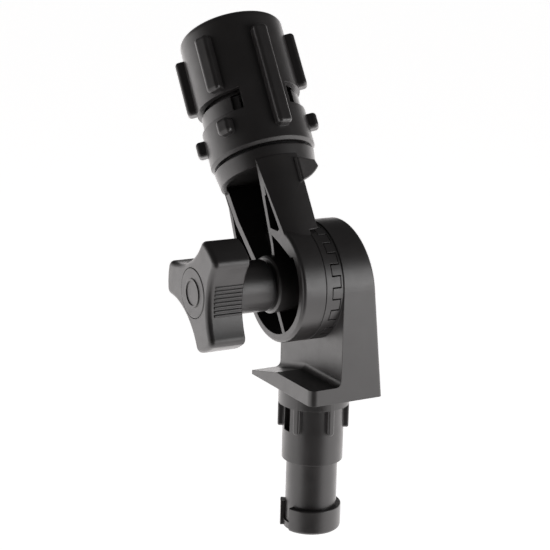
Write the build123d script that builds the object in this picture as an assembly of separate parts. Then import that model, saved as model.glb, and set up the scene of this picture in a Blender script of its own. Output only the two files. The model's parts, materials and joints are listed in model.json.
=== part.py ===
from build123d import *
import math
import os

# Adjustable rod-holder mount: a socket head on a tilting arm, clamped by a knob to a bracket with a post.
# Millimetres, +Z up. The origin is on the post's axis, at the step where the post's lower tube begins.
# The tilt axis runs along X. The arm leans towards +Y at rest.

# ---- driving dimensions -------------------------------------------------------------------------------
arm_tilt = 33.0              # degrees that the arm leans from vertical at rest
spline_count = 6             # ribs on the post and on the head, and grooves in the socket
spline_step = 360 / spline_count

# post
tube_r = 11.1                # lower tube, 22.2 mm across
post_r = 13.2                # post body, 26.4 mm across
post_top = 25.0              # height of the collar's underside
post_bottom = -31.8
post_core_r = 8.3            # moulding core that hollows the post
post_core_top = 19.0
neck_r = 13.0                # between the ribs the post tapers to this
neck_low = 20.0              # and is straight again from here up to the collar
post_rib_r = 15.3
post_rib_w = 3.0
post_rib_corner = 1.4
post_rib_round = 0.8
post_rib_low = 13.6          # the plain round part of the post ends here
collar_r = 15.3
latch_top = -20.9            # top of the latch ring at the post's end
latch_tab_top = -20.5        # the latch tab stands a little higher
latch_tab_low = -31.4
latch_tab_turn = 150.0       # degrees from +X
latch_tab_half = 11.3        # degrees
latch_gap_half = 45.0        # degrees, the gap in the ring where the tab stands
latch_bridge_r = 11.8        # a thin bridge joins the tab to the ring
latch_bridge_h = 3.0
key_slot_w = 4.6             # slots between the ribs, on the X axis
key_slot_floor = 10.4        # distance from the axis to a slot's floor

# bracket
shelf_low = 32.0
shelf_thick = 6.8
shelf_lip = 1.8              # thickness left at the shelf's sloping back edge
shelf_slope_start = 4.0
shelf_x0 = -16.6
bracket_half_y = 25.3
wall_x0 = -2.4
wall_x1 = 18.3
wall_draft = 6.3             # degrees that the wall's outer face leans inwards
pivot_z = 79.0
corner_r = 3.0

# ratchet: square teeth between the bracket and the locking ring
ratchet_r = 24.8
ratchet_bore = 18.0
tooth_count = 16
tooth_root_x = -3.5
tooth_tip_x = -7.4
ring_face_x = -10.4
tooth_gap_x = 0.3
tooth_gap_deg = 1.2

# clamp
bolt_r = 4.0
running_gap = 0.05
hex_across = 13.0
bolt_head_x = 6.4
bolt_head_h = 5.3
bolt_tip_x = -52.0
sleeve_r = 6.0
flange_r = 9.0
flange_thick = 1.7
boss_face_x = -25.0
washer_thick = 2.0
washer_r = 9.2
washer_bore = 4.4
spring_pocket_r = 9.6
spring_pocket_x = 2.0
spring_mean_r = 7.1
spring_wire_r = 0.7
spring_turns = 4.0
spring_end_gap = 0.25

# arm
arm_axis_x = -10.45          # the head's axis lies here, parallel to the arm
arm_r = 21.4
arm_face_x = -21.2           # open side of the drum
arm_back_x = -10.6           # side that meets the locking ring
arm_neck_x = -6.5            # the neck's back, above the bracket's dome
mouth_bend = 15.0            # from this height the channel's mouth leans outwards
mouth_top_x = -24.0          # the mouth's place at the height of the disc's ceiling
drum_r = 24.7
drum_wall = 3.7
drum_round = 1.5
web_thick = 1.9
boss_r = 12.0
dome_clear_r = 26.0          # the neck's back stays outside this radius, to pass the dome
disc_low = 46.6              # lower edge of the skirt under the disc
disc_low_r = 20.8
disc_ceiling = 49.0          # underside of the disc inside its skirt
disc_top = 53.8
disc_top_r = 21.9
skirt_in_r = 18.4
channel_half = 16.3
spigot_r = 7.0
ear_turn = -68.0             # direction that the ear's flat face looks in, from +X
ear_face_r = 22.5
ear_in_r = 17.5
ear_half = 6.6
ear_low = 35.8
ear_top = 46.6

# head, measured along the arm from the tilt axis
head_r = 22.8
head_bore = 20.0
head_low = 55.2
head_top = 115.9
head_top_round = 3.0
head_top_wall = 6.5
panel_turn = -8.9            # both windows and buttons are turned by this from the tilt axis
window_low = 72.2
window_high = 81.6
window_half = 63.0
head_rib_r = 26.7
head_rib_w = 6.6
head_rib_round = 1.7
head_rib_corner = 1.8
side_rib_top = 108.0
side_rib_low = 82.6          # four of the long ribs start above the windows
long_rib_top = 107.0         # the other two pass between the windows
long_rib_low = 61.0
short_rib_low = 62.9
short_rib_top = 69.9

# socket liner and buttons
socket_r = 13.4
liner_r = 17.5
liner_waist_r = 16.2
liner_low = 56.2
liner_floor = 2.8            # thickness of the floor under the screw's washer
socket_floor = 63.8          # the socket's floor, above the screw's head
screw_room_r = 11.0
groove_r = 15.7
groove_w = 3.4
groove_low = 104.0
button_r = 21.4
button_in_r = 18.3
button_half = 50.0
button_flange_r = 19.7       # a flange that keeps each button behind its window's ends
button_flange_half = 59.0
button_low = 72.6
button_high = 79.2
nose_w = 7.6
nose_r = 14.2

# knob
knob_face_x = -58.6
knob_back_x = -42.5
knob_lobe_r = 24.5
knob_lobe_first = 176.0      # degrees from -Y towards +Z
knob_side_centre = 42.0
knob_side_r = 29.0
knob_hub_r = 10.8
knob_hub_end_x = boss_face_x - washer_thick
cap_r = 10.3
cap_thick = 1.3
cap_ring_r = 6.0             # plain raised ring on the cap
nut_x = -46.0
nut_thick = 6.5
ridge_count = 8
ridge_pitch = 1.7
ridge_r = 0.55


# ---- helpers ------------------------------------------------------------------------------------------
def ring_z(r_out, r_in, z0, z1, x=0.0):
    """A tube about a vertical axis at x, or a disc where r_in is 0."""
    solid = Pos(x, 0, z0) * extrude(Circle(r_out), z1 - z0)
    if r_in > 0:
        solid -= Pos(x, 0, z0 - 1) * extrude(Circle(r_in), z1 - z0 + 2)
    return solid


def ring_x(r_out, r_in, x0, x1):
    """A tube about the X axis, or a disc where r_in is 0."""
    solid = extrude(Plane.YZ.offset(x0) * Circle(r_out), x1 - x0)
    if r_in > 0:
        solid -= extrude(Plane.YZ.offset(x0 - 1) * Circle(r_in), x1 - x0 + 2)
    return solid


def block(x0, x1, y0, y1, z0, z1):
    """A box between two corners."""
    middle = ((x0 + x1) / 2, (y0 + y1) / 2, (z0 + z1) / 2)
    return Pos(*middle) * Box(x1 - x0, y1 - y0, z1 - z0)


def slab_x(points, x0, x1):
    """A polygon of (y, z) points, thick along X."""
    return extrude(Plane.YZ.offset(x0) * make_face(Polyline(*points, close=True)), x1 - x0)


def slab_y(points):
    """A polygon of (x, z) points, running right across in Y."""
    return extrude(Plane.XZ.offset(-40) * make_face(Polyline(*points, close=True)), 80)


def hex_x(across, x0, x1):
    """A hexagonal prism about the X axis, with two flats level."""
    corner = across / math.sqrt(3)
    return extrude(Plane.YZ.offset(x0) * RegularPolygon(corner, 6), x1 - x0)


def polar(radius, degrees):
    """A point on a circle."""
    angle = math.radians(degrees)
    return radius * math.cos(angle), radius * math.sin(angle)


def sector_z(half_degrees, centre_degrees, z0, z1):
    """A wide wedge about the Z axis, for cutting windows and arcs. half_degrees is under 90."""
    reach = 60.0
    points = [(0, 0)]
    for turn in (-half_degrees, 0, half_degrees):
        points.append(polar(reach, centre_degrees + turn))
    return Pos(0, 0, z0) * extrude(make_face(Polyline(*points, close=True)), z1 - z0)


def teeth_x(x0, x1, half_degrees, first_degrees):
    """The square ratchet teeth, as sectors of a tube about the X axis."""
    step = 360 / tooth_count
    wedges = []
    for index in range(tooth_count):
        centre = first_degrees + index * step
        points = [(0, 0), polar(40, centre - half_degrees), polar(40, centre + half_degrees)]
        wedges.append(slab_x(points, x0, x1))
    return ring_x(ratchet_r, ratchet_bore, x0, x1) & Part() + wedges


def bar(start, end, width, x0, x1):
    """A straight rib between two (y, z) points, thick along X."""
    along = (Vector(*end) - Vector(*start)).normalized()
    side = Vector(-along.Y, along.X) * (width / 2)
    corners = [Vector(*start) + side, Vector(*end) + side, Vector(*end) - side, Vector(*start) - side]
    return slab_x([(corner.X, corner.Y) for corner in corners], x0, x1)


def radial_rib(width, low, high, r0, r1, corner, rounding):
    """An upright rib with rounded corners that stands out from a round wall towards +X."""
    plane = Plane(origin=(r0, 0, 0), x_dir=(0, 0, 1), z_dir=(1, 0, 0))
    outline = Pos((low + high) / 2, 0) * RectangleRounded(high - low, width, corner)
    rib = extrude(plane * outline, r1 - r0)
    return fillet(rib.edges().group_by(Axis.X)[-1], rounding)


def rims(shape, radius):
    """The round edges of a given radius, in order of height."""
    circles = shape.edges().filter_by(GeomType.CIRCLE)
    return circles.filter_by(lambda edge: abs(edge.radius - radius) < 0.01).sort_by(Axis.Z)


def to_pivot(shape):
    """Moves a piece from the tilt axis's own frame to its place on the bracket."""
    return Pos(0, 0, pivot_z) * shape


def to_arm(shape):
    """Moves an upright piece to its place on the leaning arm."""
    return Pos(0, 0, pivot_z) * Rot(-arm_tilt, 0, 0) * shape


# ---- bracket ------------------------------------------------------------------------------------------
def make_post():
    post = ring_z(post_r, 0, 0, post_rib_low)
    post += Pos(0, 0, (post_rib_low + neck_low) / 2) * Cone(post_r, neck_r, neck_low - post_rib_low)
    post += ring_z(neck_r, 0, neck_low, post_top)
    post += ring_z(collar_r, 0, post_top, shelf_low)
    post += ring_z(tube_r, 0, post_bottom, 0)
    rib = radial_rib(
        post_rib_w, post_rib_low, shelf_low - 1, tube_r, post_rib_r, post_rib_corner, post_rib_round
    )
    for index in range(spline_count):
        post += Rot(0, 0, 30 + index * spline_step) * rib
    for side in (-1, 1):
        x0, x1 = sorted((side * key_slot_floor, side * (post_r + 2)))
        post -= block(x0, x1, -key_slot_w / 2, key_slot_w / 2, post_rib_low, post_top)
    post -= ring_z(post_core_r, 0, post_bottom, post_core_top)
    return post


def make_shelf():
    top = shelf_low + shelf_thick
    outline = [
        (-bracket_half_y, shelf_low),
        (-bracket_half_y, top),
        (shelf_slope_start, top),
        (bracket_half_y, shelf_low + shelf_lip),
        (bracket_half_y, shelf_low),
    ]
    shelf = slab_x(outline, shelf_x0, wall_x0 + 4)
    corners = shelf.edges().filter_by(Axis.Z).group_by(Axis.X)[0]
    return fillet(corners.sort_by(Axis.Y)[0], corner_r)


def make_wall():
    wall = slab_x(
        [
            (-bracket_half_y, shelf_low),
            (bracket_half_y, shelf_low),
            (bracket_half_y, pivot_z),
            (-bracket_half_y, pivot_z),
        ],
        wall_x0,
        wall_x1,
    )
    wall += to_pivot(ring_x(bracket_half_y, 0, wall_x0, wall_x1))
    reach = 120
    lean = reach * math.tan(math.radians(wall_draft))
    beyond = [
        (wall_x1, shelf_low),
        (wall_x1 + 1, shelf_low - 1),
        (wall_x1 + 1, shelf_low + reach),
        (wall_x1 - lean, shelf_low + reach),
    ]
    return wall - slab_y(beyond)


def make_bracket():
    wall = make_wall()
    rim = wall.edges().filter_by(lambda edge: edge.center().Z > shelf_low + 1 and edge.center().X > 5)
    wall = fillet(rim, 1.5)
    bracket = wall + make_shelf()
    shelf_top = shelf_low + shelf_thick
    foot = bracket.edges().filter_by(lambda edge: abs(edge.center().X - wall_x0) < 0.01)
    foot = foot.filter_by(lambda edge: shelf_low + shelf_lip + 1 < edge.center().Z < shelf_top + 1)
    foot = foot.filter_by(lambda edge: edge.length > 15)
    bracket = fillet(foot, 2.5)
    bracket += make_post()
    root_ring = ring_x(ratchet_r, ratchet_bore, tooth_root_x, wall_x0 + 0.5)
    bracket += to_pivot(root_ring)
    step = 360 / tooth_count
    bracket += to_pivot(teeth_x(tooth_tip_x, tooth_root_x + 0.5, step / 4 - tooth_gap_deg / 2, 0))
    bracket -= to_pivot(ring_x(spring_pocket_r, 0, wall_x0 - 1, spring_pocket_x))
    bracket -= to_pivot(ring_x(bolt_r + 0.2, 0, 0, bolt_head_x + 1))
    bracket -= to_pivot(hex_x(hex_across + 0.4, bolt_head_x, wall_x1 + 1))
    return bracket


def make_latch_ring():
    """A clip round the post's end. Its tab stands in a wide gap, on a thin bridge."""
    ring = ring_z(post_r, tube_r + running_gap, post_bottom, latch_top)
    ring = fillet(rims(ring, post_r)[0], 1.4)
    ring = fillet(rims(ring, post_r)[-1], 0.6)
    ring -= sector_z(latch_gap_half, latch_tab_turn, post_bottom - 1, latch_top + 1)
    bridge_top = latch_tab_low + latch_bridge_h
    bridge = ring_z(latch_bridge_r, tube_r + running_gap, latch_tab_low, bridge_top)
    ring += bridge & sector_z(latch_gap_half + 2, latch_tab_turn, latch_tab_low, bridge_top)
    tab = ring_z(post_r, tube_r + running_gap, latch_tab_low, latch_tab_top)
    return ring + (tab & sector_z(latch_tab_half, latch_tab_turn, latch_tab_low, latch_tab_top))


def make_ratchet_ring():
    ring = ring_x(ratchet_r, ratchet_bore, ring_face_x, tooth_tip_x - tooth_gap_x)
    step = 360 / tooth_count
    half = step / 4 - tooth_gap_deg / 2
    ring += teeth_x(tooth_tip_x - tooth_gap_x - 0.5, tooth_root_x - tooth_gap_x, half, step / 2)
    return to_pivot(ring)


# ---- clamp --------------------------------------------------------------------------------------------
def make_bolt():
    bolt = hex_x(hex_across, bolt_head_x, bolt_head_x + bolt_head_h)
    bolt += ring_x(bolt_r, 0, bolt_tip_x, bolt_head_x + 1)
    tip = bolt.edges().group_by(Axis.X)[0]
    return to_pivot(chamfer(tip, 0.8))


def make_sleeve():
    flange_x = arm_back_x + flange_thick
    sleeve = ring_x(sleeve_r, bolt_r + running_gap, boss_face_x, flange_x)
    sleeve += ring_x(flange_r, bolt_r + running_gap, arm_back_x, flange_x)
    return to_pivot(sleeve)


def make_thrust_washer():
    return to_pivot(ring_x(washer_r, washer_bore, boss_face_x - washer_thick, boss_face_x))


def make_spring():
    start_x = arm_back_x + flange_thick + spring_wire_r + spring_end_gap
    length = spring_pocket_x - spring_wire_r - spring_end_gap - start_x
    path = Helix(length / spring_turns, length, spring_mean_r)
    profile = Plane(origin=path @ 0, z_dir=path % 0) * Circle(spring_wire_r)
    coil = sweep(profile, path=path)
    return to_pivot(Pos(start_x, 0, 0) * Rot(0, 90, 0) * coil)


# ---- arm ----------------------------------------------------------------------------------------------
def make_arm_outside():
    neck = ring_z(arm_r, 0, 8, disc_ceiling, arm_axis_x)
    neck -= ring_x(dome_clear_r, 0, arm_back_x, 0)
    drum = ring_x(drum_r, 0, arm_face_x, arm_back_x)
    drum = fillet(drum.edges().group_by(Axis.X)[0], drum_round)
    flare = slab_x([(-10, 2), (-10, 41), (17.2, 41), (21.0, 29), (24.4, 3)], mouth_top_x, arm_back_x)
    behind_mouth = [
        (arm_face_x, -30),
        (arm_face_x, mouth_bend),
        (mouth_top_x, disc_ceiling),
        (arm_neck_x, disc_ceiling),
        (arm_neck_x, -30),
    ]
    return (drum + flare + neck) & slab_y(behind_mouth)


def make_arm_disc():
    """The disc under the head, with a skirt that closes the top of the channel's mouth."""
    height = disc_top - disc_low
    disc = Pos(0, 0, disc_low + height / 2) * Cone(disc_low_r, disc_top_r, height)
    disc = fillet(rims(disc, disc_top_r), 0.5)
    disc -= ring_z(skirt_in_r, 0, disc_low - 1, disc_ceiling)
    return Pos(arm_axis_x, 0, 0) * disc


def make_arm_channel():
    floor_low = arm_back_x - web_thick
    floor_high = arm_neck_x - web_thick
    mouth = mouth_top_x - 1
    drum_room = ring_x(drum_r - drum_wall, 0, mouth, floor_low)
    flare_room = slab_x(
        [(-channel_half, 2), (-channel_half, 38), (15.2, 40), (18.9, 29), (20.9, 2)], mouth, floor_low
    )
    low_room = block(mouth, floor_low, -channel_half, channel_half, 30, disc_ceiling)
    high_room = block(floor_low, floor_high, -channel_half, channel_half, 0, disc_ceiling)
    high_room -= ring_x(dome_clear_r + web_thick, 0, floor_low - 1, floor_high + 1)
    return drum_room + flare_room + low_room + (high_room & block(-30, 0, -40, 40, 10, disc_ceiling))


def make_arm_ribs():
    low_floor = arm_back_x - web_thick / 2
    high_floor = arm_neck_x - web_thick / 2
    ribs = bar((2.4, -22.5), (2.4, -boss_r + 1), 2.2, mouth_top_x, low_floor)
    ribs += bar((14.4, disc_ceiling), (14.2, 32), 3.0, mouth_top_x, high_floor)
    ribs += bar((14.2, 33), (10.6, 12), 3.0, mouth_top_x, low_floor)
    ribs += bar((-17.3, 47), (-13.8, 34), 3.0, mouth_top_x, high_floor)
    ribs += bar((-13.4, 35), (-9.3, 22), 2.0, mouth_top_x, low_floor)
    ribs += bar((-9.6, 23), (-5.6, 10), 1.9, mouth_top_x, low_floor)
    gusset = [
        (-8.6, 22.6),
        (-8.4, 19.4),
        (-13.4, 12.6),
        (-18.5, 4.6),
        (-23, 3),
        (-21, 18),
        (-14.6, 17.8),
        (-11.2, 20.2),
    ]
    return ribs + slab_x(gusset, mouth_top_x, low_floor)


def make_ear():
    """A flat D-shaped pad under the disc, proud of its rim, on the side away from the channel."""
    outline = Polyline(
        (ear_half, ear_top - 3), (ear_half - 1.6, ear_top), (-ear_half, ear_top), (-ear_half, ear_low)
    )
    outline += ThreePointArc((-ear_half, ear_low), (1.5, 39.6), (ear_half, ear_top - 3))
    pad = extrude(Plane.YZ.offset(ear_in_r) * make_face(outline), ear_face_r - ear_in_r)
    pad = fillet(pad.edges().group_by(Axis.X)[-1], 0.7)
    pad = Rot(0, 0, ear_turn) * pad
    return pad - block(-40, 40, -channel_half, channel_half, 0, disc_low)


def make_arm():
    arm = make_arm_outside() - make_arm_channel()
    arm += make_arm_ribs() & make_arm_outside()
    arm += ring_x(boss_r, 0, boss_face_x, arm_back_x)
    circles = arm.edges().filter_by(GeomType.CIRCLE)
    arm = chamfer(circles.filter_by(lambda edge: edge.center().X < boss_face_x + 0.1), 0.8)
    arm += make_arm_disc()
    arm += Pos(arm_axis_x, 0, 0) * make_ear()
    arm -= ring_x(sleeve_r + running_gap, 0, boss_face_x - 1, arm_back_x + 1)
    arm += ring_z(spigot_r, 0, disc_top - 1, liner_low + liner_floor + 0.1, arm_axis_x)
    arm -= ring_z(2.5, 0, disc_ceiling + 0.7, head_top, arm_axis_x)
    return to_arm(arm)


def make_swivel_washer():
    low = liner_low + liner_floor + 0.15
    return to_arm(ring_z(10.5, 2.7, low, low + 1.2, arm_axis_x))


def make_swivel_screw():
    low = liner_low + liner_floor + 1.35
    screw = ring_z(4.6, 0, low, low + 3.2, arm_axis_x)
    screw += ring_z(2.45, 0, disc_ceiling + 0.9, low + 0.5, arm_axis_x)
    socket = Pos(arm_axis_x, 0, low + 1.2) * extrude(RegularPolygon(2.3, 6), 4)
    return to_arm(screw - socket)


def make_friction_washer():
    return to_arm(ring_z(18.5, spigot_r + 0.4, disc_top, liner_low - 0.05, arm_axis_x))


# ---- head ---------------------------------------------------------------------------------------------
def make_head_shell():
    shell = ring_z(head_r, head_bore, head_low, head_top)
    shell += ring_z(head_bore + 0.5, 0, head_top - head_top_wall, head_top)
    shell -= ring_z(liner_r + running_gap, 0, head_top - 10, head_top + 1)
    shell = fillet(rims(shell, head_r)[-1], head_top_round)
    return chamfer(rims(shell, head_r)[0], 1.2)


def head_rib(low, high):
    return radial_rib(
        head_rib_w, low, high, head_bore + 1, head_rib_r, head_rib_corner, head_rib_round
    )


def make_head():
    head = make_head_shell()
    for centre in (0, 180):
        head -= sector_z(window_half, centre + panel_turn, window_low, window_high)
    for index in range(spline_count):
        turn = 30 + index * spline_step
        low, high = (long_rib_low, long_rib_top) if turn in (90, 270) else (side_rib_low, side_rib_top)
        head += Rot(0, 0, turn) * head_rib(low, high)
    for turn in (-30, 30, 150, 210):
        head += Rot(0, 0, turn) * head_rib(short_rib_low, short_rib_top)
    return to_arm(Pos(arm_axis_x, 0, 0) * head)


def make_liner():
    liner = ring_z(liner_r, 0, liner_low, head_top - 0.4)
    waist = ring_z(liner_r + 1, liner_waist_r, button_low - 1.5, button_high + 1.5)
    liner -= waist
    liner += ring_z(head_bore - running_gap, 0, liner_low, liner_low + liner_floor + 2)
    liner -= ring_z(socket_r, 0, socket_floor, head_top)
    liner -= ring_z(screw_room_r, 0, liner_low + liner_floor, socket_floor + 1)
    liner -= ring_z(spigot_r + running_gap, 0, liner_low - 1, head_top)
    for index in range(spline_count):
        turn = 30 + index * spline_step
        groove = block(socket_r - 2, groove_r, -groove_w / 2, groove_w / 2, groove_low, head_top)
        liner -= Rot(0, 0, turn) * groove
    half = nose_w / 2 + 0.3
    slot = block(-liner_r - 1, liner_r + 1, -half, half, button_low - 0.3, button_high + 0.3)
    liner -= Rot(0, 0, panel_turn) * slot
    return to_arm(Pos(arm_axis_x, 0, 0) * liner)


def make_button(centre):
    pad = ring_z(button_r, button_in_r, button_low, button_high)
    pad &= sector_z(button_half, 0, button_low, button_high)
    flange = ring_z(button_flange_r, button_in_r, button_low, button_high)
    pad += flange & sector_z(button_flange_half, 0, button_low, button_high)
    nose = block(nose_r, button_in_r + 1, -nose_w / 2, nose_w / 2, button_low, button_high)
    return to_arm(Pos(arm_axis_x, 0, 0) * Rot(0, 0, centre) * (pad + nose))


# ---- knob ---------------------------------------------------------------------------------------------
def lobe_angles():
    """Lobe directions in the (y, z) plane."""
    return [180 - (knob_lobe_first + index * 120) for index in range(3)]


def make_knob_blank():
    blank = Circle(knob_lobe_r)
    for angle in lobe_angles():
        y, z = polar(knob_side_centre, angle + 60)
        blank -= Pos(y, z) * Circle(knob_side_r)
    blank = fillet(blank.vertices(), 3.0)
    return extrude(Plane.YZ.offset(knob_face_x) * blank, knob_back_x - knob_face_x)


def make_knob_ridges():
    """Fine grip ridges along the middle of each hollow side."""
    ridges = Part()
    for angle in lobe_angles():
        centre = Vector(*polar(knob_side_centre, angle + 60))
        for index in range(ridge_count):
            swing = (index - (ridge_count - 1) / 2) * math.degrees(ridge_pitch / knob_side_r)
            offset = Vector(*polar(knob_side_r, angle + 240 + swing))
            spot = centre + offset
            ridge = Plane.YZ.offset(knob_face_x + 3.2) * Pos(spot.X, spot.Y) * Circle(ridge_r)
            ridges += extrude(ridge, knob_back_x - knob_face_x - 4)
    return ridges


def make_knob():
    knob = make_knob_blank()
    front = knob.edges().group_by(Axis.X)[0]
    knob = fillet(front, 2.2)
    back = knob.edges().group_by(Axis.X)[-1]
    knob = fillet(back, 1.0)
    knob += make_knob_ridges()
    knob += ring_x(knob_hub_r, 0, knob_back_x - 1, knob_hub_end_x)
    knob -= ring_x(cap_r + 0.15, 0, knob_face_x - 1, knob_face_x + cap_thick)
    knob -= hex_x(hex_across + 0.2, knob_face_x, nut_x)
    knob -= ring_x(bolt_r + 0.4, 0, knob_face_x, knob_hub_end_x + 1)
    return to_pivot(knob)


def make_knob_cap():
    cap = ring_x(cap_r, 0, knob_face_x - 0.2, knob_face_x + cap_thick)
    cap = fillet(cap.edges().group_by(Axis.X)[0], 0.5)
    cap += ring_x(cap_ring_r, cap_ring_r - 1.0, knob_face_x - 0.6, knob_face_x)
    return to_pivot(cap)


def make_knob_nut():
    nut = hex_x(hex_across, nut_x - nut_thick, nut_x)
    return to_pivot(nut - ring_x(bolt_r + running_gap, 0, nut_x - nut_thick - 1, nut_x + 1))


pieces = {
    "bracket_body": make_bracket(),
    "ratchet_ring": make_ratchet_ring(),
    "post_latch_ring": make_latch_ring(),
    "clamp_bolt": make_bolt(),
    "release_spring": make_spring(),
    "pivot_sleeve": make_sleeve(),
    "thrust_washer": make_thrust_washer(),
    "arm_shell": make_arm(),
    "swivel_friction_washer": make_friction_washer(),
    "swivel_washer": make_swivel_washer(),
    "swivel_screw": make_swivel_screw(),
    "head_sleeve": make_head(),
    "socket_liner": make_liner(),
    "release_button_left": make_button(180 + panel_turn),
    "release_button_right": make_button(panel_turn),
    "knob_grip": make_knob(),
    "knob_nut": make_knob_nut(),
    "knob_cap": make_knob_cap(),
}

os.makedirs("parts", exist_ok=True)
for name, shape in pieces.items():
    export_step(shape, f"parts/{name}.step")
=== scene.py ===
import json
import math

import bpy
from mathutils import Matrix, Vector


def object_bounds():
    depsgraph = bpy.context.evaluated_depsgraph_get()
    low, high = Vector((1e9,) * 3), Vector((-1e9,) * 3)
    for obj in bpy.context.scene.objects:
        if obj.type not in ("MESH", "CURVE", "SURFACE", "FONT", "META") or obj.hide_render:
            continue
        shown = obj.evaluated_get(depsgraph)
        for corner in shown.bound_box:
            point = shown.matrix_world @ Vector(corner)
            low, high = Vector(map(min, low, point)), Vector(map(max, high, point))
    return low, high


# A tilting rod-holder mount in black moulded nylon, with stainless and brass hardware inside.
# Everything is in metres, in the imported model's own frame.

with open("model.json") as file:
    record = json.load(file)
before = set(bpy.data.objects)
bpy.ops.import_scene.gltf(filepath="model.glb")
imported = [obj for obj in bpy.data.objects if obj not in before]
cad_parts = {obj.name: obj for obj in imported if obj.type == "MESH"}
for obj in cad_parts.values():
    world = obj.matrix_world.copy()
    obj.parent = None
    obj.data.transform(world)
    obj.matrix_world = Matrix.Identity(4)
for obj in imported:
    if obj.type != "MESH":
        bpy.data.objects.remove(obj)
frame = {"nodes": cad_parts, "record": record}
cad_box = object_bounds()


# ---- materials ----------------------------------------------------------------------------------------
middle_range = (0.3, 0.7)    # where most of a noise texture's values lie
moulded_edge = 0.0004        # metres, the radius that softens a sharp edge
machined_edge = 0.0003
nylon_ior = 1.52
grain_scale = 2600           # noise scales, in cells per metre
flow_scale = 55
smudge_scale = 190
line_scale = 900
patch_scale = 160


def new_material(name):
    """A material with its node tree and its shader."""
    material = bpy.data.materials.new(name)
    material.use_nodes = True
    return material, material.node_tree, material.node_tree.nodes["Principled BSDF"]


def noise(tree, scale, detail, roughness, stretch=(1, 1, 1)):
    """A noise texture in object coordinates, stretched along an axis where asked."""
    coords = tree.nodes.new("ShaderNodeTexCoord")
    mapping = tree.nodes.new("ShaderNodeMapping")
    mapping.inputs["Scale"].default_value = stretch
    texture = tree.nodes.new("ShaderNodeTexNoise")
    texture.inputs["Scale"].default_value = scale
    texture.inputs["Detail"].default_value = detail
    texture.inputs["Roughness"].default_value = roughness
    tree.links.new(coords.outputs["Object"], mapping.inputs["Vector"])
    tree.links.new(mapping.outputs["Vector"], texture.inputs["Vector"])
    return texture.outputs["Fac"]


def spread(tree, value, low, high):
    """Maps a texture's middle range onto low to high."""
    node = tree.nodes.new("ShaderNodeMapRange")
    node.inputs["From Min"].default_value = middle_range[0]
    node.inputs["From Max"].default_value = middle_range[1]
    node.inputs["To Min"].default_value = low
    node.inputs["To Max"].default_value = high
    tree.links.new(value, node.inputs["Value"])
    return node.outputs["Result"]


def two_tone(tree, value, dark, light):
    """A colour that goes from dark to light over a texture's middle range."""
    ramp = tree.nodes.new("ShaderNodeValToRGB")
    for element, position, colour in zip(ramp.color_ramp.elements, middle_range, (dark, light)):
        element.position = position
        element.color = (*colour, 1)
    tree.links.new(value, ramp.inputs["Fac"])
    return ramp.outputs["Color"]


def bump(tree, shader, heights, edge):
    """Adds bump layers, each (height, strength, distance), over edges softened by a radius."""
    soft = tree.nodes.new("ShaderNodeBevel")
    soft.samples = 4
    soft.inputs["Radius"].default_value = edge
    normal = soft.outputs["Normal"]
    for height, strength, distance in heights:
        layer = tree.nodes.new("ShaderNodeBump")
        layer.inputs["Strength"].default_value = strength
        layer.inputs["Distance"].default_value = distance
        tree.links.new(height, layer.inputs["Height"])
        tree.links.new(normal, layer.inputs["Normal"])
        normal = layer.outputs["Normal"]
    tree.links.new(normal, shader.inputs["Normal"])


def moulded(name, dark, light, rough_low, rough_high):
    """Satin moulded nylon: fine spark-eroded grain, faint flow marks and slightly uneven gloss."""
    material, tree, shader = new_material(name)
    grain = noise(tree, grain_scale, 2.0, 0.6)
    flow = noise(tree, flow_scale, 3.0, 0.55)
    smudge = noise(tree, smudge_scale, 4.0, 0.6)
    tree.links.new(two_tone(tree, flow, dark, light), shader.inputs["Base Color"])
    tree.links.new(spread(tree, smudge, rough_low, rough_high), shader.inputs["Roughness"])
    shader.inputs["IOR"].default_value = nylon_ior
    bump(tree, shader, [(grain, 0.35, 0.00006), (smudge, 0.12, 0.0002)], moulded_edge)
    return material


def metal(name, dark, light, rough_low, rough_high):
    """Machined metal with fine drawn lines along the bolt's axis, X."""
    material, tree, shader = new_material(name)
    lines = noise(tree, line_scale, 2.0, 0.5, (0.05, 1, 1))
    patch = noise(tree, patch_scale, 3.0, 0.5)
    tree.links.new(two_tone(tree, patch, dark, light), shader.inputs["Base Color"])
    tree.links.new(spread(tree, lines, rough_low, rough_high), shader.inputs["Roughness"])
    shader.inputs["Metallic"].default_value = 1.0
    bump(tree, shader, [(lines, 0.2, 0.00005)], machined_edge)
    return material


finishes = {
    "black_nylon": moulded("black_nylon", (0.0155, 0.0145, 0.0145), (0.0215, 0.020, 0.020), 0.32, 0.41),
    "cap_nylon": moulded("cap_nylon", (0.014, 0.013, 0.013), (0.019, 0.018, 0.018), 0.34, 0.42),
    "bushing": moulded("bushing", (0.030, 0.030, 0.031), (0.040, 0.040, 0.041), 0.30, 0.38),
    "rubber": moulded("rubber", (0.010, 0.010, 0.010), (0.015, 0.015, 0.015), 0.70, 0.85),
    "stainless": metal("stainless", (0.33, 0.33, 0.325), (0.42, 0.42, 0.41), 0.28, 0.42),
    "brass": metal("brass", (0.42, 0.30, 0.12), (0.52, 0.39, 0.18), 0.28, 0.40),
}

slots = {part["node"]: part["material_slot"] for part in frame["record"]["subparts"]}
for name, node in frame["nodes"].items():
    node.data.materials.clear()
    node.data.materials.append(finishes[slots[name]])


# ---- surroundings, light and camera -------------------------------------------------------------------
def fade(tree, value, low, high, at_low, at_high):
    """A smooth change from at_low to at_high as value goes from low to high."""
    node = tree.nodes.new("ShaderNodeMapRange")
    node.interpolation_type = "SMOOTHSTEP"
    node.inputs["From Min"].default_value = low
    node.inputs["From Max"].default_value = high
    node.inputs["To Min"].default_value = at_low
    node.inputs["To Max"].default_value = at_high
    tree.links.new(value, node.inputs["Value"])
    return node.outputs["Result"]


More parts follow.
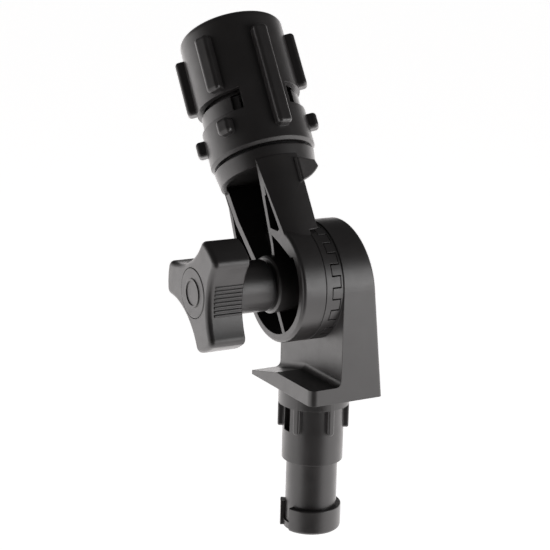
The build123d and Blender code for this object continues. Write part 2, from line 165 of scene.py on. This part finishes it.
def towards(tree, vector, direction):
    """How far a direction vector points along a fixed direction."""
    node = tree.nodes.new("ShaderNodeVectorMath")
    node.operation = "DOT_PRODUCT"
    node.inputs[1].default_value = direction
    tree.links.new(vector, node.inputs[0])
    return node.outputs["Value"]


def outward(azimuth, height=0.0):
    """The unit vector at an azimuth, which is 0 towards -Y and grows towards +X, and at a height."""
    return Vector(
        (math.sin(azimuth) * math.cos(height), -math.cos(azimuth) * math.cos(height), math.sin(height))
    )


def make_surroundings():
    """A white table and walls, dim above and in front.

    A camera ray that passes the object and the floor sees plain white.
    """
    world = bpy.data.worlds.new("studio")
    world.use_nodes = True
    tree = world.node_tree
    lit = tree.nodes["Background"]
    lit.inputs["Color"].default_value = room_colour
    seen = tree.nodes.new("ShaderNodeBackground")
    seen.inputs["Color"].default_value = (1, 1, 1, 1)
    around = tree.nodes.new("ShaderNodeTexCoord").outputs["Generated"]
    by_height = fade(tree, towards(tree, around, (0, 0, 1)), *horizon, table_light, room_light)
    by_front = fade(tree, towards(tree, around, outward(camera_azimuth)), *front_fade, 1.0, front_light)
    both = tree.nodes.new("ShaderNodeMath")
    both.operation = "MULTIPLY"
    tree.links.new(by_height, both.inputs[0])
    tree.links.new(by_front, both.inputs[1])
    tree.links.new(both.outputs["Value"], lit.inputs["Strength"])
    ray = tree.nodes.new("ShaderNodeLightPath")
    mix = tree.nodes.new("ShaderNodeMixShader")
    tree.links.new(ray.outputs["Is Camera Ray"], mix.inputs["Fac"])
    tree.links.new(lit.outputs["Background"], mix.inputs[1])
    tree.links.new(seen.outputs["Background"], mix.inputs[2])
    tree.links.new(mix.outputs["Shader"], tree.nodes["World Output"].inputs["Surface"])
    bpy.context.scene.world = world


def make_floor():
    """A plain pale floor, a little below the part. It takes light and shade but gives none."""
    height = cad_box[0][2] - floor_drop
    corners = [(-1, -1), (1, -1), (1, 1), (-1, 1)]
    mesh = bpy.data.meshes.new("floor")
    mesh.from_pydata([(x * floor_half, y * floor_half, height) for x, y in corners], [], [(0, 1, 2, 3)])
    material, _, shader = new_material("floor")
    shader.inputs["Base Color"].default_value = floor_colour
    shader.inputs["Roughness"].default_value = 1.0
    shader.inputs["Specular IOR Level"].default_value = 0.0
    shader.inputs["Emission Color"].default_value = (1, 1, 1, 1)
    shader.inputs["Emission Strength"].default_value = floor_glow
    mesh.materials.append(material)
    floor = bpy.data.objects.new("floor", mesh)
    floor.visible_diffuse = False
    floor.visible_glossy = False
    floor.visible_shadow = False
    bpy.context.scene.collection.objects.link(floor)


def area_light(name, direction, distance, size, power, target):
    """A soft box at a bearing (degrees from the camera's own, then up) that looks at the target."""
    bearing, height = (math.radians(value) for value in direction)
    offset = outward(camera_azimuth + bearing, height)
    data = bpy.data.lights.new(name, "AREA")
    data.shape = "RECTANGLE"
    data.size, data.size_y = size
    data.energy = power
    light = bpy.data.objects.new(name, data)
    light.location = target + offset * distance
    light.rotation_euler = offset.to_track_quat("Z", "Y").to_euler()
    bpy.context.scene.collection.objects.link(light)


def make_camera():
    """Right, up and back are the camera's own axes, turned by its azimuth, pitch and roll."""
    flat = Vector((math.cos(camera_azimuth), math.sin(camera_azimuth), 0))
    back = outward(camera_azimuth, camera_pitch)
    upright = back.cross(flat)
    right = flat * math.cos(camera_roll) + upright * math.sin(camera_roll)
    up = upright * math.cos(camera_roll) - flat * math.sin(camera_roll)
    data = bpy.data.cameras.new("camera")
    data.sensor_width = camera_sensor
    data.lens = camera_lens
    camera = bpy.data.objects.new("camera", data)
    axes = Matrix((right, up, back)).transposed().to_4x4()
    camera.matrix_world = Matrix.Translation(camera_place) @ axes
    bpy.context.scene.collection.objects.link(camera)
    bpy.context.scene.camera = camera


camera_azimuth = math.radians(-29.76)
camera_pitch = math.radians(13.86)
camera_roll = math.radians(1.43)
camera_place = Vector((-0.3200, -0.5235, 0.2315))
camera_lens = 98.2           # mm
camera_sensor = 36           # mm, its width
horizon = (-0.05, 0.35)      # the light falls off between these heights of direction, as sines
table_light = 2.2            # strength below them
room_light = 0.10            # and above
front_fade = (0.52, 0.86)    # it also falls off from the sides to the camera's side, as cosines
front_light = 0.03           # the share of it that is left there
room_colour = (1, 0.97, 0.965, 1)

floor_drop = 0.02            # metres below the object's lowest point at rest
floor_half = 20.0            # metres, half of its side
floor_colour = (0.9, 0.9, 0.9, 1)
floor_glow = 0.87            # lifts the floor to nearly white

low, high = Vector(cad_box[0]), Vector(cad_box[1])
middle = (low + high) / 2
make_camera()
make_surroundings()
make_floor()
area_light("left", (-104, 4), 0.7, (0.2, 0.8), 0.12, middle)
area_light("right", (66, 6), 0.8, (0.45, 0.5), 2.4, middle)
bpy.context.scene.view_settings.view_transform = "Standard"
